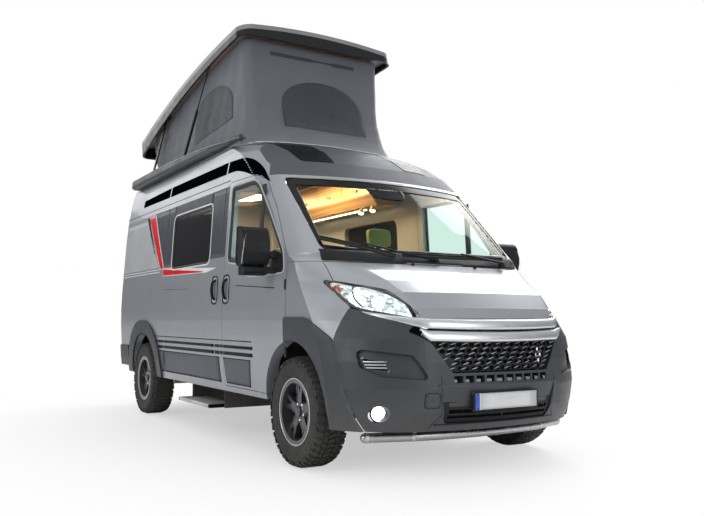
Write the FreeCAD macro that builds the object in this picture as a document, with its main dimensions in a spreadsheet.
import FreeCAD
import Part
import math
import os

# Camper van with a raised pop-up roof.
# Millimetres. +X forward, +Y to the van's left, +Z up. The origin is on the floor
# under the middle of the vehicle. Every sub-part is one labelled object.

DIMENSIONS = (
    # alias, value
    ("front_axle", 1758),
    ("rear_axle", -1692),
    ("wheel_offset", 905),
    ("kingpin_offset", 850),
    ("tyre_radius", 366),
    ("tyre_width", 225),
    ("rim_radius", 204),
    ("rim_width", 196),
    ("rim_lip", 222),
    ("brake_radius", 150),
    ("arch_height", 405),
    ("arch_radius", 432),
    ("arch_trim_radius", 588),
    ("rear_trim_radius", 562),
    ("wall", 60),
    ("glass_sheet", 5),
    ("shut_gap", 5),
    ("seam", 1),
    ("floor_low", 535),
    ("floor_top", 560),
    ("rail_low", 440),
    ("rail_width", 80),
    ("rail_offset", 520),
    ("bulkhead", 1640),
    ("engine_length", 600),
    ("engine_width", 840),
    ("engine_height", 560),
    ("engine_low", 425),
    ("tank_length", 900),
    ("tank_width", 360),
    ("tank_height", 130),
    ("seat_front", 1190),
    ("seat_offset", 450),
    ("seat_width", 500),
    ("seat_length", 520),
    ("seat_low", 880),
    ("seat_cushion", 130),
    ("seat_back", 720),
    ("kitchen_front", 330),
    ("kitchen_length", 950),
    ("kitchen_depth", 480),
    ("kitchen_height", 880),
    ("locker_height", 330),
    ("locker_depth", 280),
    ("bed_length", 1700),
    ("bed_width", 1840),
    ("bed_height", 420),
    ("mattress", 120),
    ("lid_length", 3080),
    ("lid_width", 1600),
    ("lid_rear_depth", 160),
    ("lid_front_depth", 90),
    ("lid_camber", 99),
    ("lid_crown", 60),
    ("lid_skin", 40),
    ("lid_wall", 20),
    ("lid_rear", -2737),
    ("lid_low", 2892),
    ("lid_tilt", 10.7),
    ("lid_hinge_drop", 72),
    ("bellows_drop", 52),
    ("arm_foot_x", -2427),
    ("arm_foot_z", 2570),
    ("arm_top_x", -1887),
    ("strut_foot_x", -1350),
    ("strut_foot_z", 2565),
    ("strut_top_x", -600),
    ("arm_plane", 758),
    ("plate_length", 520),
    ("plate_height", 110),
    ("plate_low", 422),
    ("steering_radius", 190),
    ("steering_x", 1120),
    ("steering_y", 440),
    ("steering_z", 1250),
    ("steering_tilt", 62),
    ("step_length", 780),
    ("step_depth", 320),
    ("step_height", 30),
    ("step_edge", -1050),
    ("step_low", 250),
    ("bar_radius", 30),
)

doc = FreeCAD.newDocument("camper_van")
sheet = doc.addObject("Spreadsheet::Sheet", "sizes")
for number, (alias, value) in enumerate(DIMENSIONS, 1):
    sheet.set("A%d" % number, alias)
    sheet.set("B%d" % number, str(value))
    sheet.setAlias("B%d" % number, alias)
doc.recompute()

kept = []


def size(alias):
    return float(getattr(sheet, alias))


# ---------------------------------------------------------------- helpers


def keep(item, name):
    item.Label = name
    kept.append(item)
    return item


def shaped(name, shape):
    item = doc.addObject("Part::Feature", name)
    item.Shape = shape
    return keep(item, name)


def primitive(kind, name, sizes, place, turn=None):
    """A Part primitive whose sizes and place are expressions of the sheet's cells."""
    item = doc.addObject(kind, name)
    if turn:
        item.Placement = FreeCAD.Placement(FreeCAD.Vector(), FreeCAD.Rotation(*turn))
    for prop, expression in sizes.items():
        item.setExpression(prop, expression)
    for axis, expression in zip("xyz", place):
        item.setExpression("Placement.Base." + axis, expression)
    return item


def block(name, lengths, corner):
    """A Part::Box; lengths and its lowest corner are expressions."""
    return primitive("Part::Box", name, dict(zip(("Length", "Width", "Height"), lengths)), corner)


def rod(name, radius, length, start, turn):
    """A Part::Cylinder from start along its turned Z axis."""
    return primitive("Part::Cylinder", name, {"Radius": radius, "Height": length}, start, turn)


def fused(name, items):
    item = doc.addObject("Part::MultiFuse", name)
    item.Shapes = items
    return item


ALONG_Y = (FreeCAD.Vector(1, 0, 0), -90)
ALONG_X = (FreeCAD.Vector(0, 1, 0), 90)
SIDES = (("left", 1), ("right", -1))


def spot(plane, a, b, level):
    """The point at a, b of a flat outline in the XZ, YZ or XY plane."""
    if plane == "xz":
        return FreeCAD.Vector(a, level, b)
    if plane == "yz":
        return FreeCAD.Vector(level, a, b)
    return FreeCAD.Vector(a, b, level)


def outline(points, plane, level):
    """A closed wire of straight runs; each point is a, b and its corner radius."""
    count = len(points)
    starts = []
    ends = []
    middles = []
    for index, (a, b, radius) in enumerate(points):
        before = points[index - 1]
        after = points[(index + 1) % count]
        back = FreeCAD.Vector(before[0] - a, before[1] - b, 0).normalize()
        ahead = FreeCAD.Vector(after[0] - a, after[1] - b, 0).normalize()
        here = FreeCAD.Vector(a, b, 0)
        half = back.getAngle(ahead) / 2
        reach = radius / math.tan(half) if radius else 0
        inward = (back + ahead).normalize()
        depth = radius / math.sin(half) - radius if radius else 0
        starts.append(here + back * reach)
        ends.append(here + ahead * reach)
        middles.append(here + inward * depth)
    edges = []
    for index in range(count):
        first, last = starts[index], ends[index]
        if points[index][2]:
            arc = [spot(plane, p.x, p.y, level) for p in (first, middles[index], last)]
            edges.append(Part.Arc(*arc).toShape())
        onward = starts[(index + 1) % count]
        if (onward - last).Length > 0.001:
            run = [spot(plane, p.x, p.y, level) for p in (last, onward)]
            edges.append(Part.makeLine(*run))
    return Part.Wire(edges)


def prism(points, plane, low, high, grow=0):
    """An outline drawn out from low to high across its plane, grown by a gap if asked."""
    wire = outline(points, plane, low)
    if grow:
        wire = wire.makeOffset2D(grow)
    normal = {"xz": FreeCAD.Vector(0, 1, 0), "yz": FreeCAD.Vector(1, 0, 0), "xy": FreeCAD.Vector(0, 0, 1)}
    return Part.Face(wire).extrude(normal[plane] * (high - low))


def slab(x0, x1, y0, y1, z0, z1):
    return Part.makeBox(x1 - x0, y1 - y0, z1 - z0, FreeCAD.Vector(x0, y0, z0))


def pipe_y(radius, x, z, y0, y1):
    return Part.makeCylinder(radius, y1 - y0, FreeCAD.Vector(x, y0, z), FreeCAD.Vector(0, 1, 0))


def span(side, near, far):
    """The Y range between two distances from the middle plane, on one side."""
    return (near, far) if side > 0 else (-far, -near)


def mirrored(shape):
    return shape.mirror(FreeCAD.Vector(), FreeCAD.Vector(0, 1, 0))


# ---------------------------------------------------------------- body envelope
# The whole body is a stack of level outlines, each a nose arc, two corner arcs,
# two straight sides and a rounded tail, ruled together from sill to roof.

BODY_LEVELS = (
    # height, nose x, knee x, knee y, corner x, corner y, side x, side y, tail x
    (300, 2640, 2565, 560, 2450, 775, 2200, 955, -2672),
    (420, 2690, 2622, 560, 2492, 790, 2210, 985, -2688),
    (560, 2706, 2640, 560, 2500, 808, 2210, 1002, -2690),
    (720, 2700, 2630, 560, 2476, 818, 2170, 1012, -2690),
    (860, 2682, 2606, 560, 2432, 826, 2110, 1020, -2690),
    (970, 2648, 2570, 560, 2350, 822, 2040, 1024, -2690),
    (1050, 2600, 2520, 565, 2286, 812, 1980, 1025, -2690),
    (1150, 2492, 2420, 585, 2195, 820, 1900, 1022, -2690),
    (1230, 2350, 2275, 610, 2090, 820, 1840, 1019, -2690),
    (1305, 2170, 2095, 640, 1990, 830, 1790, 1016, -2690),
    (1366, 1990, 1925, 750, 1880, 870, 1760, 1012, -2689),
    (1428, 1925, 1858, 855, 1790, 930, 1640, 1009, -2687),
    (1640, 1752, 1640, 851, 1560, 918, 1420, 998, -2680),
    (1850, 1562, 1415, 847, 1345, 903, 1215, 986, -2672),
    (2065, 1350, 1187, 843, 1120, 892, 985, 968, -2662),
    (2210, 1170, 1000, 835, 925, 882, 790, 946, -2655),
    (2335, 965, 800, 800, 720, 855, 590, 922, -2648),
    (2431, 730, 580, 750, 490, 822, 330, 898, -2640),
    (2490, 540, 400, 640, 300, 740, 120, 850, -2625),
    (2520, 400, 260, 500, 160, 610, -20, 730, -2595),
)
TAIL_RADIUS = 110
ROOF_SKIN = 2470
ROOF_LEVEL = 2431


def arc_centre(a, b, c):
    """The centre of the circle through three flat points."""
    d = 2 * (a[0] * (b[1] - c[1]) + b[0] * (c[1] - a[1]) + c[0] * (a[1] - b[1]))
    aa, bb, cc = (p[0] ** 2 + p[1] ** 2 for p in (a, b, c))
    x = (aa * (b[1] - c[1]) + bb * (c[1] - a[1]) + cc * (a[1] - b[1])) / d
    y = (aa * (c[0] - b[0]) + bb * (a[0] - c[0]) + cc * (b[0] - a[0])) / d
    return FreeCAD.Vector(x, y, 0)


def inward(point, normals, inset):
    """A flat point moved inward by inset, against the mean of its outward normals."""
    mean = FreeCAD.Vector()
    for normal in normals:
        mean = mean + normal.normalize()
    mean.normalize()
    return FreeCAD.Vector(*point, 0) - mean * inset


def level_outline(level, inset, height):
    """One level outline of the body, set in by inset, at a height."""
    _, nose_x, knee_x, knee_y, corner_x, corner_y, side_x, side_y, tail_x = level
    nose, knee, corner, side = (nose_x, 0), (knee_x, knee_y), (corner_x, corner_y), (side_x, side_y)
    front_centre = arc_centre(nose, knee, (knee_x, -knee_y))
    corner_centre = arc_centre(knee, corner, side)
    at_knee = FreeCAD.Vector(*knee, 0)
    at_corner = FreeCAD.Vector(*corner, 0)
    at_side = FreeCAD.Vector(*side, 0)
    k = inward(knee, (at_knee - front_centre, at_knee - corner_centre), inset)
    c = inward(corner, (at_corner - corner_centre,), inset)
    s = inward(side, (at_side - corner_centre, FreeCAD.Vector(0, 1, 0)), inset)
    wide = side_y - inset
    tail = tail_x + inset
    bend = TAIL_RADIUS - inset
    diagonal = bend * (1 - math.sqrt(0.5))
    right = [(s.x, -wide), (c.x, -c.y), (k.x, -k.y), (nose_x - inset, 0)]
    left = [(k.x, k.y), (c.x, c.y), (s.x, wide)]
    rear = [
        (tail + bend, wide),
        (tail + diagonal, wide - diagonal),
        (tail, wide - bend),
        (tail, bend - wide),
        (tail + diagonal, diagonal - wide),
        (tail + bend, -wide),
    ]
    p = [FreeCAD.Vector(x, y, height) for x, y in right + left + rear]
    edges = [
        Part.Arc(p[0], p[1], p[2]).toShape(),
        Part.Arc(p[2], p[3], p[4]).toShape(),
        Part.Arc(p[4], p[5], p[6]).toShape(),
        Part.makeLine(p[6], p[7]),
        Part.Arc(p[7], p[8], p[9]).toShape(),
        Part.makeLine(p[9], p[10]),
        Part.Arc(p[10], p[11], p[12]).toShape(),
        Part.makeLine(p[12], p[0]),
    ]
    return Part.Wire(edges)


def envelope(inset):
    """The solid inside the body's outer surface, set in by inset."""
    levels = [level for level in BODY_LEVELS if inset <= 0 or level[0] <= ROOF_LEVEL]
    wires = [level_outline(level, inset, level[0]) for level in levels]
    if inset > 0:
        wires.append(level_outline(BODY_LEVELS[-2], inset, min(ROOF_SKIN, 2520 - inset)))
    return Part.makeLoft(wires, True, True)


OUTER = envelope(0)
PROUD = envelope(-size("seam"))
SHELL = OUTER.cut(envelope(size("wall")))
SKIN = OUTER.cut(envelope(38))
FLARE = envelope(-20)
GLASS = envelope(8).cut(envelope(8 + size("glass_sheet")))

# ---------------------------------------------------------------- outlines
# Side outlines are x, z, corner radius; front outlines y, z, radius; top outlines x, y, radius.

FRONT_DOOR = (
    (500, 452, 30), (1650, 452, 0), (1650, 1415, 30), (1345, 1790, 0), (1110, 2034, 60), (1010, 2078, 60),
    (500, 2092, 40),
)
DOOR_WINDOW = (
    (575, 2036, 25), (575, 1446, 40), (800, 1430, 120), (950, 1318, 120), (1590, 1318, 25), (1560, 1450, 40),
    (1300, 1762, 0), (1070, 2000, 60), (980, 2030, 60),
)
SLIDING_DOOR = ((-1045, 452, 40), (437, 452, 40), (437, 2182, 40), (-1045, 2182, 40))
SIDE_WINDOW = ((-855, 1457, 70), (150, 1457, 70), (150, 1960, 70), (-855, 1960, 70))
BUMPER_SIDE = ((2385, 300, 0), (2800, 300, 0), (2800, 1046, 0), (2228, 1046, 0), (2228, 855, 0))
FRONT_FLARE = ((1655, 300, 0), (1655, 993, 0), (1985, 993, 400), (2224, 858, 60), (2381, 300, 0))
VENT_RECESS = ((902, 800, 30), (630, 762, 20), (535, 612, 20), (800, 632, 60), (895, 690, 40))
VENT = ((750, 664, 12), (850, 680, 12), (868, 742, 12), (766, 728, 12))
HEADLAMP = ((535, 982, 18), (850, 1044, 40), (928, 1242, 18), (655, 1165, 60))
GRILLE_OPENING = (
    (-390, 652, 30), (390, 652, 30), (525, 845, 10), (640, 905, 10), (560, 978, 10), (-560, 978, 10),
    (-640, 905, 10), (-525, 845, 10),
)
GRILLE_MESH = ((-382, 660, 26), (382, 660, 26), (512, 840, 12), (-512, 840, 12))
LOWER_INTAKE = ((-430, 345, 40), (430, 345, 40), (470, 575, 30), (-470, 575, 30))
LOWER_MESH = ((-424, 351, 36), (424, 351, 36), (464, 569, 26), (-464, 569, 26))
BONNET_TOP = (
    (2800, -548, 0), (2600, -548, 80), (2440, -664, 100), (2230, -778, 100), (2040, -868, 60), (1800, -860, 0),
    (1800, 860, 0), (2040, 868, 60), (2230, 778, 100), (2440, 664, 100), (2600, 548, 80), (2800, 548, 0),
)
WINDSCREEN = ((-848, 1442, 60), (848, 1442, 60), (836, 2046, 60), (-836, 2046, 60))
REAR_DOOR = ((3, 552, 0), (925, 552, 30), (925, 1450, 0), (886, 2060, 0), (824, 2391, 30), (3, 2391, 0))
REAR_OPENING = (
    (-925, 552, 30), (925, 552, 30), (925, 1450, 0), (886, 2060, 0), (824, 2391, 30), (-824, 2391, 30),
    (-886, 2060, 0), (-925, 1450, 0),
)
REAR_WINDOW = ((150, 1470, 60), (800, 1470, 60), (770, 2040, 60), (150, 2040, 60))
ARCH_TOP = size("arch_height")
REAR_TOP = ARCH_TOP + size("rear_trim_radius")
REAR_FLARE = ((-2276, 408, 0), (-2276, REAR_TOP, 530), (-1130, REAR_TOP, 545), (-1130, 408, 0))


def arch(axle, radius, y0, y1):
    return pipe_y(radius, axle, ARCH_TOP, y0, y1)


def arches(radius):
    """Both wheel arch openings, through the whole width."""
    return arch(size("front_axle"), radius, -1200, 1200).fuse(arch(size("rear_axle"), radius, -1200, 1200))


ARCHES = arches(size("arch_radius"))

# ---------------------------------------------------------------- body panels


def body_side(side):
    """The fixed wall behind and above the doors, with the rear pillar."""
    low, high = span(side, 700, 1200)
    region = (
        (-2800, 406, 0), (1290, 406, 0), (1290, 446, 0), (1100, 446, 0), (1100, 2072, 0), (1022, 2174, 0),
        (640, 2411, 0), (452, 2427, 0), (-2800, 2427, 0),
    )
    wall = SHELL.common(prism(region, "xz", low, high))
    wall = wall.cut(prism(FRONT_DOOR, "xz", low, high, size("shut_gap")))
    if side < 0:
        wall = wall.cut(prism(SLIDING_DOOR, "xz", low, high, size("seam")))
    else:
        wall = wall.cut(prism(SIDE_WINDOW, "xz", low, high))
    wall = wall.cut(ARCHES)
    wall = wall.cut(prism(REAR_OPENING, "yz", -2800, -2500, size("shut_gap")))
    wall = wall.cut(slab(-2800, -2500, -824, 824, 2380, 2500))
    wall = wall.cut(slab(-2800, -2280, -1200, 1200, 300, 692))
    wall = wall.cut(slab(-2800, -2560, -1200, 1200, 958, 1482))
    return wall


def sliding_door():
    door = SHELL.common(prism(SLIDING_DOOR, "xz", -1200, -700))
    door = door.cut(prism(SIDE_WINDOW, "xz", -1200, -700))
    return door.cut(arch(size("rear_axle"), size("arch_radius"), -1200, 0))


def arch_trim(axle, outline_shape, side):
    """A proud layer of cladding round one wheel arch, inside a side outline."""
    low, high = span(side, 700, 1200)
    layer = FLARE.common(prism(outline_shape, "xz", low, high))
    return layer.cut(arch(axle, size("arch_radius"), -1200, 1200)).cut(PROUD)


def front_door(side):
    """Front door with its window frame, lower arch corner and its piece of arch trim."""
    low, high = span(side, 700, 1200)
    door = SHELL.common(prism(FRONT_DOOR, "xz", low, high))
    door = door.cut(prism(DOOR_WINDOW, "xz", low, high))
    door = door.cut(arch(size("front_axle"), size("arch_radius"), -1200, 1200))
    ring = FLARE.common(arch(size("front_axle"), size("arch_trim_radius"), low, high))
    ring = ring.cut(arch(size("front_axle"), size("arch_radius"), -1200, 1200))
    return door.fuse(ring.common(slab(900, 1649, -1200, 1200, 454, 1100)).cut(OUTER))


def wing(side):
    """Front wing between door, bonnet, lamp and bumper, cut by its wheel arch."""
    low, high = span(side, 560, 1200)
    gap = size("shut_gap")
    region = (
        (1656, 408, 0), (2350, 408, 0), (2224, 855, 0), (2224, 1100, 0), (2500, 1100, 0), (2500, 1365, 0),
        (1656, 1365, 0),
    )
    panel = SKIN.common(prism(region, "xz", low, high))
    panel = panel.cut(prism(BONNET_TOP, "xy", 900, 1400, gap))
    panel = panel.cut(headlamp_prism(side, 2))
    return panel.cut(arch(size("front_axle"), size("arch_radius"), -1200, 1200))


def headlamp_prism(side, grow=0):
    """The lamp outline seen from ahead, drawn rearward."""
    points = [(y * side, z, radius) for y, z, radius in HEADLAMP]
    return prism(points, "yz", 1900, 2800, grow)


def lamp_block(side):
    shape = OUTER.cut(envelope(55)).common(headlamp_prism(side))
    fog = Part.makeCylinder(44, 70, FreeCAD.Vector(2375, side * 800, 410), FreeCAD.Vector(1, 0, 0))
    return [shape, fog]


def bonnet():
    skin = SKIN.common(prism(BONNET_TOP, "xy", 984, 1361))
    for side in (1, -1):
        skin = skin.cut(headlamp_prism(side, size("shut_gap")))
    return skin


def front_bumper():
    """Bumper shell with the grille opening, lower intake, fog lamp and vent pockets."""
    shell = OUTER.cut(envelope(45)).common(prism(BUMPER_SIDE, "xz", -1200, 1200))
    shell = shell.common(slab(2200, 2800, -1200, 1200, 300, 976))
    for side in (1, -1):
        corner = OUTER.cut(envelope(45)).common(prism(BUMPER_SIDE, "xz", *span(side, 600, 1200)))
        shell = shell.fuse(corner)
        shell = shell.cut(headlamp_prism(side, 2))
        shell = shell.cut(prism(BONNET_TOP, "xy", 979, 1400, size("shut_gap")))
        fog_hole = Part.makeCylinder(50, 700, FreeCAD.Vector(2200, side * 800, 410), FreeCAD.Vector(1, 0, 0))
        shell = shell.cut(fog_hole)
        scoop, vent = [[(y * side, z, radius) for y, z, radius in points] for points in (VENT_RECESS, VENT)]
        shell = shell.cut(OUTER.cut(envelope(26)).common(prism(scoop, "yz", 2200, 2800)))
        shell = shell.cut(prism(vent, "yz", 2200, 2800))
    shell = shell.cut(prism(GRILLE_OPENING, "yz", 2400, 2800))
    shell = shell.cut(prism(LOWER_INTAKE, "yz", 2400, 2800))
    for number in range(10):
        y = -382 + number * 78
        shell = shell.cut(slab(2500, 2800, y, y + 62, 592, 636))
    hatch = ((-566, 450, 12), (-478, 450, 12), (-478, 530, 12), (-566, 530, 12))
    return shell.cut(prism(hatch, "yz", 2500, 2800))


def grille():
    """Honeycomb insert with rows of six-sided cells, and the slatted lower intake."""
    plate = envelope(22).cut(envelope(40)).common(prism(GRILLE_MESH, "yz", 2400, 2800))
    pitch = 46
    cells = []
    for row in range(5):
        z = 678 + row * pitch * 0.78
        half = 370 + row * 27
        shift = pitch / 2 if row % 2 else 0
        count = int((half - 12 - shift) // pitch)
        for number in range(-count - (1 if shift else 0), count + 1):
            y = number * pitch + shift
            corners = []
            for turn in range(6):
                angle = math.radians(60 * turn + 30)
                corners.append(FreeCAD.Vector(2400, y + 21 * math.cos(angle), z + 15.5 * math.sin(angle)))
            corners.append(corners[0])
            cells.append(Part.Face(Part.makePolygon(corners)).extrude(FreeCAD.Vector(400, 0, 0)))
    plate = plate.cut(Part.makeCompound(cells))
    lower = envelope(10).cut(envelope(26)).common(prism(LOWER_MESH, "yz", 2400, 2800))
    for number in range(5):
        z = 368 + number * 40
        for y0, y1 in ((-405, -8), (8, 405)):
            lower = lower.cut(slab(2400, 2800, y0, y1, z, z + 26))
    return [plate, lower]


def grille_bars():
    """Two bright bars across the nose and three slats in each corner vent."""
    band = envelope(-8).cut(envelope(12))
    upper = ((-600, 935, 12), (-540, 968, 12), (540, 968, 12), (600, 935, 12), (540, 922, 12), (-540, 922, 12))
    lower = ((-620, 900, 12), (-520, 856, 12), (520, 856, 12), (620, 900, 12), (520, 894, 12), (-520, 894, 12))
    bars = [band.common(prism(points, "yz", 2400, 2800)) for points in (upper, lower)]
    layer = envelope(28).cut(envelope(44))
    for side in (1, -1):
        hole = prism([(y * side, z, radius) for y, z, radius in VENT], "yz", 2200, 2800)
        bars += [layer.common(hole).common(slab(2200, 2800, *span(side, 740, 880), z, z + 9)) for z in (682, 700, 718)]
    return bars


def roof_cap():
    region = (
        (452, 2600, 0), (452, 2429, 0), (641, 2413, 0), (1023, 2176, 0), (1105, 2073, 0), (2000, 2073, 0),
        (2000, 2600, 0),
    )
    return SHELL.common(prism(region, "xz", -1200, 1200))


def windscreen_frame():
    """Cowl, both front pillars and the header round the windscreen."""
    frame = SHELL.common(slab(1104, 2100, -1200, 1200, 1368, 2071))
    frame = frame.cut(prism(WINDSCREEN, "yz", 900, 2200))
    for side in (1, -1):
        frame = frame.cut(prism(FRONT_DOOR, "xz", *span(side, 700, 1200), size("shut_gap")))
    return frame


def roof_panel():
    """Fixed roof with the opening under the pop-up lid, its rear header and arm brackets."""
    roof = SHELL.common(slab(-2800, 450, -1200, 1200, 2429, 2600))
    roof = roof.fuse(SHELL.common(slab(-2800, -2530, -822, 822, 2397, 2430)))
    hatch = ((-2200, -600, 90), (150, -600, 90), (150, 600, 90), (-2200, 600, 90))
    roof = roof.cut(prism(hatch, "xy", 2300, 2600))
    for side in (1, -1):
        low, high = span(side, 722, 743)
        bracket = slab(-2457, -2392, low, high, 2440, 2592)
        roof = roof.fuse(bracket)
        roof = roof.fuse(slab(-1385, -1315, low, high, 2440, 2587))
    pin = pipe_y(10.3, size("arm_foot_x"), size("arm_foot_z"), -800, 800)
    return roof.cut(pin).cut(pipe_y(8.3, size("strut_foot_x"), size("strut_foot_z"), -800, 800))


def rear_door(side):
    """One leaf of the rear doors, with its window opening."""
    turned = [[(y * side, z, radius) for y, z, radius in shape] for shape in (REAR_DOOR, REAR_WINDOW)]
    leaf = SHELL.common(prism(turned[0], "yz", -2800, -2530))
    return leaf.cut(prism(turned[1], "yz", -2800, -2500))


def rear_bumper():
    shell = envelope(-14).cut(envelope(40))
    step = shell.common(slab(-2800, -2290, -1200, 1200, 468, 544))
    corners = shell.common(slab(-2800, -2290, -1200, 1200, 543, 688))
    corners = corners.cut(slab(-2800, -2290, -932, 932, 500, 700))
    return step.fuse(corners)


def shrunk(points, by):
    """The same outline pulled in a little, for a pane inside its opening."""
    xs = [point[0] for point in points]
    zs = [point[1] for point in points]
    middle_x, middle_z = (min(xs) + max(xs)) / 2, (min(zs) + max(zs)) / 2
    half_x, half_z = (max(xs) - min(xs)) / 2, (max(zs) - min(zs)) / 2
    fx, fz = 1 - by / half_x, 1 - by / half_z
    return [(middle_x + (x - middle_x) * fx, middle_z + (z - middle_z) * fz, r) for x, z, r in points]


def pane(points, plane, low, high):
    return GLASS.common(prism(shrunk(points, 1), plane, low, high)).removeSplitter()


# ---------------------------------------------------------------- make the body

for label, side in SIDES:
    shaped(label + "_body_side", body_side(side))
LEFT_PIECES = (
    ("front_door", front_door(1)),
    ("front_glass", pane(DOOR_WINDOW, "xz", 700, 1200)),
    ("rear_door", rear_door(1)),
    ("rear_glass", pane(REAR_WINDOW, "yz", -2800, -2500)),
)
for name, piece in LEFT_PIECES:
    shaped("left_" + name, piece)
    shaped("right_" + name, mirrored(piece))
shaped("sliding_door", sliding_door())
side_pane = pane(SIDE_WINDOW, "xz", 700, 1200)
shaped("side_windows", Part.makeCompound([side_pane, mirrored(side_pane)]))
shaped("windscreen", pane(WINDSCREEN, "yz", 1000, 2200))
shaped("windscreen_frame", windscreen_frame())
shaped("roof_cap", roof_cap())
shaped("roof_panel", roof_panel())
left_wing = wing(1)
shaped("front_wings", Part.makeCompound([left_wing, mirrored(left_wing)]))
shaped("bonnet", bonnet())
shaped("front_bumper", front_bumper())
shaped("rear_bumper", rear_bumper())
lamps = lamp_block(1)
shaped("front_lamps", Part.makeCompound(lamps + [mirrored(lamp) for lamp in lamps]))
shaped("grille", Part.makeCompound(grille()))
shaped("grille_bars", Part.makeCompound(grille_bars()))

tails = []
for side in (1, -1):
    low, high = span(side, 935, 1200)
    tails.append(SHELL.common(slab(-2800, -2561, low, high, 959, 1481)))
shaped("tail_lamps", Part.makeCompound(tails))

trims = []
for side in (1, -1):
    trims.append(arch_trim(size("front_axle"), FRONT_FLARE, side))
    trims.append(arch_trim(size("rear_axle"), REAR_FLARE, side))
shaped("arch_trims", Part.makeCompound(trims))

# ---------------------------------------------------------------- wheels


def ring_sketch(body, name, points):
    """A closed sketch of straight runs in the body's XY plane."""
    plane = [item for item in body.Origin.OriginFeatures if item.Role == "XY_Plane"][0]
    sketch = body.newObject("Sketcher::SketchObject", name)
    sketch.AttachmentSupport = [(plane, "")]
    sketch.MapMode = "FlatFace"
    corners = [FreeCAD.Vector(x, y, 0) for x, y in points]
    for index, corner in enumerate(corners):
        sketch.addGeometry(Part.LineSegment(corner, corners[(index + 1) % len(corners)]), False)
    return sketch


def revolved(body, name, points):
    """Turn a section about the body's Y axis."""
    sketch = ring_sketch(body, name + "_section", points)
    ring = body.newObject("PartDesign::Revolution", name)
    ring.Profile = sketch
    ring.ReferenceAxis = (sketch, ["V_Axis"])
    ring.Angle = 360
    return ring


TYRE_SECTION = (
    # share of the section height, share of half the width
    (0.00, 0.76), (0.115, 0.76), (0.17, 0.88), (0.42, 1.00), (0.74, 0.96), (0.90, 0.88), (0.97, 0.76), (1.00, 0.40),
)


def tyre(name, x, y):
    body = doc.addObject("PartDesign::Body", name)
    inner = size("rim_radius") + 0.3
    depth = size("tyre_radius") - inner
    half = size("tyre_width") / 2
    outer = [(inner + depth * rise, half * wide) for rise, wide in TYRE_SECTION]
    revolved(body, name + "_ring", outer + [(r, -w) for r, w in reversed(outer)])
    for axis, expression in zip("xyz", (x, y, "sizes.tyre_radius")):
        body.setExpression("Placement.Base." + axis, expression)
    return keep(body, name)


def rim(name, x, y, side):
    """Barrel, dished disc with a hub boss, and five forked spokes."""
    body = doc.addObject("PartDesign::Body", name)
    radius = size("rim_radius")
    half = size("rim_width") / 2
    lip = size("rim_lip")
    face = half * 0.72
    barrel = (
        (radius - 14, -half), (lip, -half - 3), (lip, -half + 2), (radius, -half + 8), (radius, half - 8),
        (lip, half - 2), (lip, half + 3), (radius - 14, half),
    )
    revolved(body, name + "_barrel", [(r, w * side) for r, w in barrel])
    boss = ((0.5, face - 52), (74, face - 52), (74, face - 24), (46, face - 6), (0.5, face - 6))
    revolved(body, name + "_boss", [(r, w * side) for r, w in boss])
    plane = [item for item in body.Origin.OriginFeatures if item.Role == "XZ_Plane"][0]
    sketch = body.newObject("Sketcher::SketchObject", name + "_spoke_outline")
    sketch.AttachmentSupport = [(plane, "")]
    sketch.MapMode = "FlatFace"
    reach = radius - 7
    fork = (
        (-34, 58), (34, 58), (30, 110), (52, reach * 0.96), (24, reach * 0.985), (0, 128),
        (-24, reach * 0.985), (-52, reach * 0.96), (-30, 110),
    )
    corners = [FreeCAD.Vector(a, b, 0) for a, b in fork]
    for index, corner in enumerate(corners):
        sketch.addGeometry(Part.LineSegment(corner, corners[(index + 1) % len(corners)]), False)
    sketch.AttachmentOffset = FreeCAD.Placement(FreeCAD.Vector(0, 0, -side * (face - 44)), FreeCAD.Rotation())
    spoke = body.newObject("PartDesign::Pad", name + "_spoke")
    spoke.Profile = sketch
    spoke.Length = 34
    spoke.Reversed = side > 0
    ring = body.newObject("PartDesign::PolarPattern", name + "_spokes")
    ring.Originals = [spoke]
    ring.Axis = ([item for item in body.Origin.OriginFeatures if item.Role == "Y_Axis"][0], [""])
    ring.Angle = 360
    ring.Occurrences = 5
    body.Tip = ring
    for axis, expression in zip("xyz", (x, y, "sizes.tyre_radius")):
        body.setExpression("Placement.Base." + axis, expression)
    return keep(body, name)


for end in ("front", "rear"):
    for label, side in SIDES:
        place = ("sizes.%s_axle" % end, "%d * sizes.wheel_offset" % side)
        tyre("%s_%s_tyre" % (end, label), *place)
        rim("%s_%s_rim" % (end, label), *place, side)


def knuckle(label, side):
    """Hub, brake disc, upright and steering lever of one front wheel."""
    x, z = size("front_axle"), size("tyre_radius")
    low, high = span(side, 852, 876)
    disc = pipe_y(size("brake_radius"), x, z, low, high)
    hub = pipe_y(62, x, z, *span(side, 780, 915))
    upright = slab(x - 42, x + 42, *span(side, 768, 838), z - 90, z + 150)
    lever = slab(x - 170, x - 30, *span(side, 772, 800), z - 30, z)
    caliper = slab(x + 90, x + 160, *span(side, 838, 890), z - 50, z + 60)
    bridge = slab(x + 30, x + 160, *span(side, 812, 840), z - 50, z + 60)
    shape = disc.fuse([hub, upright, lever, caliper, bridge]).removeSplitter()
    shaped(label + "_knuckle", shape)


for label, side in SIDES:
    knuckle(label, side)

# ---------------------------------------------------------------- underbody


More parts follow.
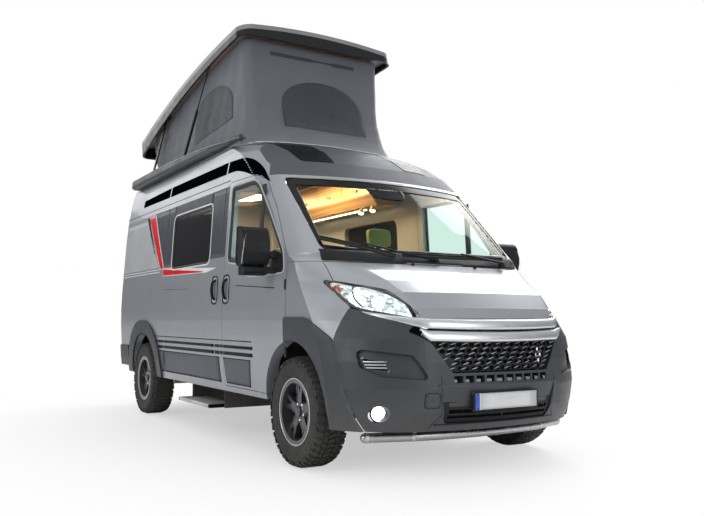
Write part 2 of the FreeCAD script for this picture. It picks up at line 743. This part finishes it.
def floor_pan():
    """Cab and load floor with rails, cross members, rear wheel boxes and step rails."""
    low, top = size("floor_low"), size("floor_top")
    plates = [slab(-2610, 1290, -935, 935, low, top), slab(1290, 1640, -575, 575, low, top)]
    cuts = [slab(-2130, -1254, *span(side, 742, 1200), 300, 700) for side in (1, -1)]
    floor = plates[0].fuse(plates[1])
    for piece in cuts:
        floor = floor.cut(piece)
    solids = []
    width = size("rail_width")
    for side in (1, -1):
        centre = side * size("rail_offset")
        solids.append(slab(-2600, 2500, centre - width / 2, centre + width / 2, size("rail_low"), low))
        box = slab(-2142, -1242, *span(side, 730, 935), low, 872)
        solids.append(box.cut(slab(-2130, -1254, *span(side, 742, 1200), 300, 860)))
    for x in (-2500, -1150, -300, 900):
        solids.append(slab(x, x + 60, -935, 935, size("rail_low") + 30, low))
    for x in (-470, 308):
        solids.append(slab(x, x + 14, -915, -480, size("step_low") - 5, size("rail_low") + 40))
    pan = floor.fuse(solids).removeSplitter()
    keep_in = envelope(size("wall") + 2).fuse(slab(-3000, 3000, -860, 860, 200, 1366))
    return pan.common(keep_in.fuse(slab(-480, 330, -916, -400, 240, 405)))


def bulkhead():
    """Wall behind the engine, with the boxes over the front wheels beside the footwells."""
    low, top, x = size("floor_low"), size("floor_top"), size("bulkhead")
    panels = [slab(x, x + 12, -940, 940, 862, 1366), slab(x, x + 12, -575, 575, low, 874)]
    for side in (1, -1):
        panels.append(slab(1278, x, *span(side, 575, 940), 862, 874))
        panels.append(slab(1278, 1290, *span(side, 575, 940), top, 874))
        panels.append(slab(1290, x + 12, *span(side, 575, 587), low, 874))
    wall = panels[0].fuse(panels[1:]).removeSplitter()
    return wall.common(envelope(size("wall") + 2).fuse(slab(-3000, 3000, -860, 860, 200, 1366)))


def towing_bracket():
    """Plate on the right rail's tip with the threaded socket for a screw-in towing eye."""
    start, along = FreeCAD.Vector(2500, -520, 488), FreeCAD.Vector(1, 0, 0)
    plate = slab(2500, 2512, -560, -480, 445, 530)
    return plate.fuse(Part.makeCylinder(18, 100, start, along)).cut(Part.makeCylinder(9, 60, start + along * 40, along))


shaped("floor_pan", floor_pan())
shaped("towing_bracket", towing_bracket())
shaped("bulkhead", bulkhead())


def rear_suspension():
    """Driven rear axle with its differential, hubs, discs and a leaf spring each side."""
    x, z = size("rear_axle"), size("tyre_radius")
    tube = pipe_y(42, x, z, -846, 846)
    housing = Part.makeSphere(140, FreeCAD.Vector(x, 0, z)).common(slab(x - 150, x + 150, -110, 110, z - 130, z + 66))
    solids = [housing]
    for side in (1, -1):
        solids.append(pipe_y(size("brake_radius"), x, z, *span(side, 852, 876)))
        solids.append(pipe_y(62, x, z, *span(side, 780, 915)))
        low, high = span(side, 485, 555)
        solids.append(slab(x - 60, x + 60, low, high, z, z + 62))
        spring = [
            Part.Arc(
                FreeCAD.Vector(x - 640, low, 439.5), FreeCAD.Vector(x, low, 424), FreeCAD.Vector(x + 640, low, 439.5)
            ).toShape()
        ]
        under = Part.Arc(
            FreeCAD.Vector(x + 640, low, 421), FreeCAD.Vector(x, low, 404), FreeCAD.Vector(x - 640, low, 421)
        ).toShape()
        ends = [
            Part.makeLine(FreeCAD.Vector(x + 640, low, 439.5), FreeCAD.Vector(x + 640, low, 421)),
            Part.makeLine(FreeCAD.Vector(x - 640, low, 421), FreeCAD.Vector(x - 640, low, 439.5)),
        ]
        wire = Part.Wire([spring[0], ends[0], under, ends[1]])
        solids.append(Part.Face(wire).extrude(FreeCAD.Vector(0, high - low, 0)))
        solids.append(slab(x - 640, x - 590, low, high, 421, 440))
        solids.append(slab(x + 590, x + 640, low, high, 421, 440))
    return tube.fuse(solids)


shaped("rear_axle", rear_suspension())


def front_subframe():
    """Cross member under the engine, lower arms and the two damper legs."""
    x = size("front_axle")
    cross = slab(x - 160, x + 160, -560, 560, 350, 424)
    posts = []
    for side in (1, -1):
        low, high = span(side, 484, 556)
        posts.append(slab(x - 120, x + 120, low, high, 420, size("rail_low")))
        posts.append(slab(x - 45, x + 45, *span(side, 540, 700), 300, 352))
        posts.append(slab(x - 30, x + 30, *span(side, 690, 750), 262, 330))
        damper = FreeCAD.Vector(x, side * 690, 540)
        posts.append(Part.makeCylinder(32, 560, damper))
        tower = Part.makeCylinder(72, 40, FreeCAD.Vector(x, side * 690, 1060))
        posts.append(tower)
        posts.append(slab(x - 60, x + 60, *span(side, 480, 690), 1062, 1092))
        posts.append(slab(x - 60, x + 60, *span(side, 480, 500), 535, 1092))
    return cross.fuse(posts)


shaped("front_subframe", front_subframe())

engine = block(
    "engine_block",
    ("sizes.engine_length", "sizes.engine_width", "sizes.engine_height"),
    ("sizes.front_axle - 60", "-sizes.engine_width / 2", "sizes.engine_low"),
)
keep(engine, "engine")

tank = block(
    "tank_box",
    ("sizes.tank_length", "sizes.tank_width", "sizes.tank_height"),
    ("-250", "90", "sizes.rail_low - sizes.tank_height + 29"),
)
doc.recompute()
rounded_tank = doc.addObject("Part::Fillet", "tank_round")
rounded_tank.Base = tank
rounded_tank.Edges = [(number, 35, 35) for number in range(1, 13) if number in (1, 3, 5, 7)]
keep(rounded_tank, "fuel_tank")

pipe = rod("exhaust_pipe", "28", "1700", ("-500", "-300", "400"), ALONG_X)
muffler = rod("exhaust_muffler", "85", "560", ("-1060", "-300", "384"), ALONG_X)
tail = rod("exhaust_tail", "28", "620", ("-980", "-920", "384"), ALONG_Y)
keep(fused("exhaust_run", [pipe, muffler, tail]), "exhaust")

# ---------------------------------------------------------------- cab and living space


def seat(y):
    """One cab seat whose right edge is at y: plinth, cushion, reclined back, headrest."""
    front, width, length = size("seat_front"), size("seat_width"), size("seat_length")
    low, thick, tall = size("seat_low"), size("seat_cushion"), size("seat_back")
    rear = front - length
    plinth = slab(rear, front - 60, y + 60, y + width - 60, size("floor_top"), low)
    cushion = ((rear, low, 40), (front, low, 50), (front, low + thick, 60), (rear, low + thick - 20, 30))
    back = (
        (rear - 60, low + 40, 40), (rear + 70, low + 60, 40), (rear - 40, low + tall, 50), (rear - 150, low + tall, 50),
    )
    high = low + tall
    rest = (
        (rear - 145, high + 20, 30), (rear - 55, high + 20, 30), (rear - 75, high + 200, 40), (rear - 165, high + 200, 40),
    )
    middle = y + width / 2
    stems = slab(rear - 112, rear - 96, middle - 50, middle + 50, high - 60, high + 60)
    padding = [prism(cushion, "xz", y, y + width), prism(back, "xz", y + 10, y + width - 10)]
    return plinth.fuse(padding + [prism(rest, "xz", y + 120, y + width - 120), stems]).removeSplitter()


def seats():
    middles = (size("seat_offset"), -size("seat_offset"))
    return Part.makeCompound([seat(middle - size("seat_width") / 2) for middle in middles])


shaped("front_seats", seats())


def dashboard():
    """Dashboard with a raised hood, a centre console and the steering column."""
    section = (
        (1639, 1010, 0), (1639, 1362, 0), (1500, 1372, 60), (1330, 1330, 50), (1260, 1240, 40), (1320, 1060, 60),
        (1420, 1010, 30),
    )
    board = prism(section, "xz", -860, 860)
    console = prism(((1639, 875, 0), (1639, 1020, 0), (1340, 1020, 0), (1280, 900, 30)), "xz", -170, 170)
    tilt = math.radians(size("steering_tilt"))
    down = FreeCAD.Vector(math.sin(tilt), 0, -math.cos(tilt))
    centre = FreeCAD.Vector(size("steering_x"), size("steering_y"), size("steering_z"))
    column = Part.makeCylinder(32, 210, centre + down * 28, down)
    return board.fuse([console, column])


shaped("dashboard", dashboard())


def steering_wheel():
    """Rim ring of a twelve-sided grip, three spokes and the hub."""
    radius = size("steering_radius")
    turns = [math.radians(30 * index + 15) for index in range(13)]
    grip = [FreeCAD.Vector(radius - 14 + 14 * math.cos(turn), 0, 14 * math.sin(turn)) for turn in turns]
    grip[12] = grip[0]
    rim_ring = Part.Face(Part.makePolygon(grip)).revolve(FreeCAD.Vector(), FreeCAD.Vector(0, 0, 1), 360)
    hub = Part.makeCylinder(62, 34, FreeCAD.Vector(0, 0, -22))
    spokes = []
    for angle in (0, 180, 270):
        spoke = slab(40, radius - 14, -18, 18, -12, 2)
        spokes.append(spoke.rotate(FreeCAD.Vector(), FreeCAD.Vector(0, 0, 1), angle + 90))
    wheel = rim_ring.fuse([hub] + spokes)
    return wheel.removeSplitter()


wheel = shaped("steering_wheel", steering_wheel())
wheel.Placement = FreeCAD.Placement(
    FreeCAD.Vector(size("steering_x"), size("steering_y"), size("steering_z")),
    FreeCAD.Rotation(FreeCAD.Vector(0, 1, 0), -size("steering_tilt")),
)



def kitchen():
    """Kitchen block with a toe recess, a worktop lip, a sink, a hob recess and door gaps."""
    front, length = size("kitchen_front"), size("kitchen_length")
    rear, face = front - length, 920 - size("kitchen_depth")
    low, high = size("floor_top"), size("floor_top") + size("kitchen_height")
    body = slab(rear, front, face + 15, 920, low, high - 30).fuse(slab(rear, front, face, 920, high - 30, high))
    toe = slab(rear, front, face, face + 80, low, low + 80)
    sink = Part.makeCylinder(165, 130, FreeCAD.Vector(front - 250, 690, high - 130))
    hob = slab(rear + 120, rear + 450, 530, 850, high - 6, high)
    gaps = [slab(rear + x - 2, rear + x + 2, face, face + 23, low + 80, high - 30) for x in (317, 633)]
    gaps.append(slab(rear, front, face, face + 23, high - 214, high - 210))
    return body.cut([toe, sink, hob] + gaps).removeSplitter()


def overhead_lockers():
    """Two rows of lockers with slanted lower fronts and door gaps."""
    high, near = 2395, 800 - size("locker_depth")
    low = high - size("locker_height")
    rows = []
    for side in (1, -1):
        section = ((800, low, 0), (800, high, 0), (near, high, 0), (near, low + 90, 25), (near + 80, low, 25))
        row = prism([(y * side, z, radius) for y, z, radius in section], "yz", -1800, 300)
        gaps = [slab(x - 2, x + 2, *span(side, near, near + 6), low, high) for x in (-1275, -750, -225)]
        rows.append(row.cut(gaps))
    return Part.makeCompound(rows)


def rear_bed():
    """Cross bed on a board, two side walls and a front panel with two drawers; open behind."""
    rear, front = -2580, size("bed_length") - 2580
    half, low = size("bed_width") / 2, size("floor_top")
    high, thick = low + size("bed_height"), size("mattress")
    walls = [slab(rear, front, *span(side, 560, 580), low, high - 20) for side in (1, -1)]
    walls.append(slab(front - 20, front, -580, 580, low, high - 20))
    gaps = [slab(front - 6, front, y - 2, y + 2, low + 60, high - 60) for y in (-540, 0, 540)]
    gaps += [slab(front - 6, front, -540, 540, z - 2, z + 2) for z in (low + 60, high - 60)]
    section = ((rear, high, 40), (front, high, 40), (front, high + thick, 50), (rear, high + thick, 40))
    mattress = prism([(x, z, radius) for x, z, radius in section], "xz", -half, half)
    board = slab(rear + 45, front - 45, -half, half, high - 20, high)
    return board.fuse(walls + [mattress]).cut(gaps)


shaped("kitchen_unit", kitchen())
shaped("overhead_lockers", overhead_lockers())
shaped("rear_bed", rear_bed())

# ---------------------------------------------------------------- pop-up roof


def lid_place():
    """Where the lid's own frame lies: its lower rear edge, tilted nose up."""
    tilt = FreeCAD.Rotation(FreeCAD.Vector(0, 1, 0), -size("lid_tilt"))
    return FreeCAD.Placement(FreeCAD.Vector(size("lid_rear"), 0, size("lid_low")), tilt)


LID_LENGTH = size("lid_length")
LID_CREST = (size("lid_rear_depth") + size("lid_front_depth")) / 2 + size("lid_camber")
LID_CENTRE = arc_centre(
    (0, size("lid_rear_depth")), (LID_LENGTH / 2, LID_CREST), (LID_LENGTH, size("lid_front_depth"))
)
LID_RADIUS = LID_CREST - LID_CENTRE.y


def on_lid(x, drop):
    """The height, at x, of the arc that lies a drop below the lid's upper edge."""
    centre = lid_place().multVec(FreeCAD.Vector(LID_CENTRE.x, 0, LID_CENTRE.y))
    return centre.z + math.sqrt((LID_RADIUS - drop) ** 2 - (x - centre.x) ** 2)


ARM_TOP_Z = on_lid(size("arm_top_x"), size("lid_hinge_drop"))
STRUT_TOP_Z = on_lid(size("strut_top_x"), size("lid_hinge_drop"))


def cambered(half, edge, crown):
    """A crowned section turned about the lid's long shallow arc."""
    middle = LID_LENGTH / 2
    corners = [FreeCAD.Vector(middle, y, z) for y, z in ((-half, edge), (half, edge), (half, -50), (-half, -50))]
    top = Part.Arc(corners[0], FreeCAD.Vector(middle, 0, edge + crown), corners[1]).toShape()
    legs = [Part.makeLine(corners[i], corners[(i + 1) % 4]) for i in (1, 2, 3)]
    face = Part.Face(Part.Wire([top] + legs))
    centre = FreeCAD.Vector(LID_CENTRE.x, 0, LID_CENTRE.y)
    reach = math.degrees(0.52 * LID_LENGTH / LID_RADIUS)
    face = face.rotate(centre, FreeCAD.Vector(0, 1, 0), -reach)
    return face.revolve(centre, FreeCAD.Vector(0, 1, 0), 2 * reach)


def pop_roof():
    """A shallow cambered tray turned over, with deeper skirts behind and brackets inside."""
    half = size("lid_width") / 2
    wall, skin = size("lid_wall"), size("lid_skin")
    plan = ((0, -half, 90), (LID_LENGTH, -half, 120), (LID_LENGTH, half, 120), (0, half, 90))
    tray = cambered(half + 10, LID_CREST, size("lid_crown")).common(prism(plan, "xy", -10, 500))
    centre = arc_centre((0, 0), (LID_LENGTH / 2, size("lid_camber")), (LID_LENGTH, 0))
    radius = size("lid_camber") - centre.y
    under = pipe_y(radius, centre.x, centre.y, -1000, 1000)
    inner_half = half - wall
    inner = (
        (wall, -inner_half, 75), (LID_LENGTH - wall, -inner_half, 100), (LID_LENGTH - wall, inner_half, 100),
        (wall, inner_half, 75),
    )
    hollow = cambered(half + 10, LID_CREST - skin, size("lid_crown")).common(prism(inner, "xy", -10, 500))
    tray = tray.cut(under).cut(hollow)
    back = lid_place().inverse()
    pivot = back.multVec(FreeCAD.Vector(size("arm_top_x"), 0, ARM_TOP_Z))
    stud = back.multVec(FreeCAD.Vector(size("strut_top_x"), 0, STRUT_TOP_Z))
    ceiling = size("lid_hinge_drop") - skin + 26
    for side in (1, -1):
        plate = slab(pivot.x - 30, pivot.x + 30, *span(side, 724, 743), pivot.z - 22, pivot.z + ceiling)
        tray = tray.fuse([plate, pipe_y(12, stud.x, stud.z, *span(side, 772, half - 10))])
    return tray.cut(pipe_y(10.3, pivot.x, pivot.z, -760, 760))


lid = shaped("pop_roof", pop_roof())
lid.Placement = lid_place()


def link(x0, z0, x1, z1, y0, y1, half_width):
    """A flat bar with round ends between two pivots in a side view."""
    along = FreeCAD.Vector(x1 - x0, 0, z1 - z0)
    across = FreeCAD.Vector(-along.z, 0, along.x).normalize() * half_width
    a, b = FreeCAD.Vector(x0, y0, z0), FreeCAD.Vector(x1, y0, z1)
    bar = Part.Face(Part.makePolygon([a + across, b + across, b - across, a - across, a + across]))
    bar = bar.extrude(FreeCAD.Vector(0, y1 - y0, 0))
    ends = [pipe_y(half_width, x, z, y0, y1) for x, z in ((x0, z0), (x1, z1))]
    return bar.fuse(ends).removeSplitter()


def roof_arms():
    """The pair of lifting arms at the back of the roof, with their pivot pins."""
    arms = []
    for side in (1, -1):
        low, high = span(side, 749, 765)
        arm = link(size("arm_foot_x"), size("arm_foot_z"), size("arm_top_x"), ARM_TOP_Z, low, high, 17)
        pins = [
            pipe_y(10, x, z, *span(side, 720, 750))
            for x, z in ((size("arm_foot_x"), size("arm_foot_z")), (size("arm_top_x"), ARM_TOP_Z))
        ]
        arms.append(arm.fuse(pins))
    return Part.makeCompound(arms)


shaped("roof_arms", roof_arms())


def gas_struts():
    """Cylinders of the two gas struts with their lower eyes, and the rods with their upper eyes."""
    foot = FreeCAD.Vector(size("strut_foot_x"), 0, size("strut_foot_z"))
    top = FreeCAD.Vector(size("strut_top_x"), 0, STRUT_TOP_Z)
    along = (top - foot).normalize()
    length = (top - foot).Length
    tubes = []
    rods = []
    for side in (1, -1):
        y = side * 758
        start = foot + FreeCAD.Vector(0, y, 0)
        barrel = Part.makeCylinder(14, 640, start + along * 16, along)
        bore = Part.makeCylinder(6.5, 620, start + along * 40, along)
        eye = pipe_y(18, foot.x, foot.z, *span(side, 749, 767))
        pin = pipe_y(8, foot.x, foot.z, *span(side, 720, 750))
        tubes.append(barrel.cut(bore).fuse([eye, pin]))
        shaft = Part.makeCylinder(6, length - 250 - 10, start + along * 250, along)
        head = pipe_y(14, top.x, top.z, *span(side, 750, 766))
        rods.append(shaft.fuse(head))
    return Part.makeCompound(tubes), Part.makeCompound(rods)


tubes, rods = gas_struts()
shaped("roof_strut_tubes", tubes)
shaped("roof_strut_rods", rods)


def bellows_side(inset, sink, y):
    """The side outline of the fabric: flared at the front foot, arched under the lid."""
    rear_top, front_top = -2550 + inset, 150 - inset
    top = [FreeCAD.Vector(x, y, on_lid(x, size("bellows_drop"))) for x in (rear_top, -1200, front_top)]
    foot = [(470 + 1.13 * sink, 2522 - sink), (325, 2650), (215, 2860)]
    front = [FreeCAD.Vector(x - inset, y, z) for x, z in reversed(foot)]
    back = FreeCAD.Vector(-2420 + 0.34 * sink + inset, y, 2522 - sink)
    corners = [top[2]] + front + [back, top[0]]
    runs = [Part.makeLine(corners[i], corners[i + 1]) for i in range(len(corners) - 1)]
    return Part.Face(Part.Wire([Part.Arc(*top).toShape()] + runs))


def bellows():
    """The fabric enclosure: a thin wall from the fixed roof to the lid's inner top."""
    outer = bellows_side(0, 0, -705).extrude(FreeCAD.Vector(0, 1410, 0))
    room = bellows_side(16, 60, -690).extrude(FreeCAD.Vector(0, 1380, 0))
    above = room.translated(FreeCAD.Vector(0, 0, 60))
    return outer.cut(room.fuse(above))


shaped("roof_bellows", bellows())

# ---------------------------------------------------------------- outside fittings


def awning():
    """Rolled awning in its case, on three brackets at the right roof edge."""
    section = (
        (-985, 2445, 40), (-880, 2445, 20), (-880, 2520, 0), (-868, 2532, 0), (-868, 2556, 15), (-985, 2556, 45),
    )
    case = prism([(y, z, radius) for y, z, radius in section], "yz", -2400, 560)
    brackets = [slab(x, x + 60, -900, -820, 2485, 2500) for x in (-2200, -900, 350)]
    return case.fuse([bracket.cut(PROUD) for bracket in brackets])


shaped("awning", awning())


def mirror(side):
    """Tall mirror head with a wide-angle part below it, on an arm from the window corner."""
    head = (
        (1350, 1352, 20), (1470, 1352, 60), (1500, 1442, 70), (1500, 1512, 70), (1462, 1624, 60), (1350, 1624, 20),
    )
    shell = prism(head, "xz", *span(side, 1070, 1262))
    chin = ((1360, 1284, 20), (1450, 1284, 40), (1490, 1350, 30), (1360, 1350, 10))
    shell = shell.fuse(prism(chin, "xz", *span(side, 1082, 1250)))
    shell = shell.cut(slab(1340, 1358, *span(side, 1084, 1248), 1366, 1610))
    shell = shell.cut(slab(1340, 1368, *span(side, 1096, 1236), 1296, 1338))
    reach = ((1400, 990, 0), (1500, 990, 0), (1470, 1100, 20), (1400, 1100, 20))
    tip = [(x, y * side, radius) for x, y, radius in reach]
    arms = [prism(tip, "xy", z, z + 44).cut(OUTER) for z in (1410, 1300)]
    post = slab(1410, 1462, *span(side, 1072, 1100), 1290, 1450)
    corner = ((1380, 1290, 30), (1600, 1290, 20), (1560, 1440, 30), (1440, 1470, 40))
    foot = prism(corner, "xz", *span(side, 985, 1018)).cut(OUTER)
    return shell.fuse(arms + [post, foot])


for label, side in SIDES:
    shaped(label + "_mirror", mirror(side))


def bumper_bar():
    """Bright tube under the bumper, bent back at both ends, on two brackets."""
    radius = size("bar_radius")
    ends = [FreeCAD.Vector(2443, side * 522, 256) for side in (-1, 1)]
    bow = Part.Arc(ends[0], FreeCAD.Vector(2500, 0, 256), ends[1]).toShape()
    tangent = bow.tangentAt(bow.FirstParameter)
    circle = Part.Wire([Part.makeCircle(radius, ends[0], tangent)])
    solid = Part.Wire([bow]).makePipeShell([circle], True, True)
    pieces = []
    for side, joint in ((-1, ends[0]), (1, ends[1])):
        tip = FreeCAD.Vector(2335, side * 812, 254)
        pieces.append(Part.makeSphere(radius, joint))
        pieces.append(Part.makeCylinder(radius, (tip - joint).Length, joint, tip - joint))
        pieces.append(Part.makeSphere(radius, tip))
        pieces.append(slab(2400, 2460, *span(side, 505, 535), 255, 440))
    return solid.fuse(pieces)


shaped("bumper_bar", bumper_bar())


def front_plate():
    """Number plate, flat and blank, behind whose back the bumper's face is left whole."""
    half, low = size("plate_length") / 2, size("plate_low")
    return slab(2694, 2714, -half, half, low, low + size("plate_height")).cut(envelope(8))


def step_tread():
    """Entry step with a rounded front edge and grooves along its top."""
    edge, low = size("step_edge"), size("step_low")
    back, high = edge + size("step_depth"), low + size("step_height")
    section = ((edge, low, 12), (back, low, 0), (back, high, 0), (edge, high, 12))
    board = prism(section, "yz", -451, size("step_length") - 477)
    end = size("step_length") - 492
    return board.cut([slab(-436, end, edge + y, edge + y + 14, high - 4, high) for y in range(24, 220, 30)])


shaped("front_plate", front_plate())
shaped("step_tread", step_tread())

# ---------------------------------------------------------------- check and write

doc.recompute()
for item in doc.Objects:
    if "Invalid" in item.State or "Error" in item.State:
        raise RuntimeError("failed object: " + item.Label)
os.makedirs("parts", exist_ok=True)
bad = [item.Label for item in kept if item.Shape.isNull() or not item.Shape.isValid() or item.Shape.Volume <= 0]
if bad:
    raise RuntimeError("bad shapes: " + ", ".join(bad))
for item in kept:
    item.Shape.exportStep("parts/" + item.Label + ".step")
    print("%-20s %10.0f cm3  %d solids" % (item.Label, item.Shape.Volume / 1000, len(item.Shape.Solids)))
print(len(kept), "parts")
print("arm top z %.1f strut top z %.1f" % (ARM_TOP_Z, STRUT_TOP_Z))
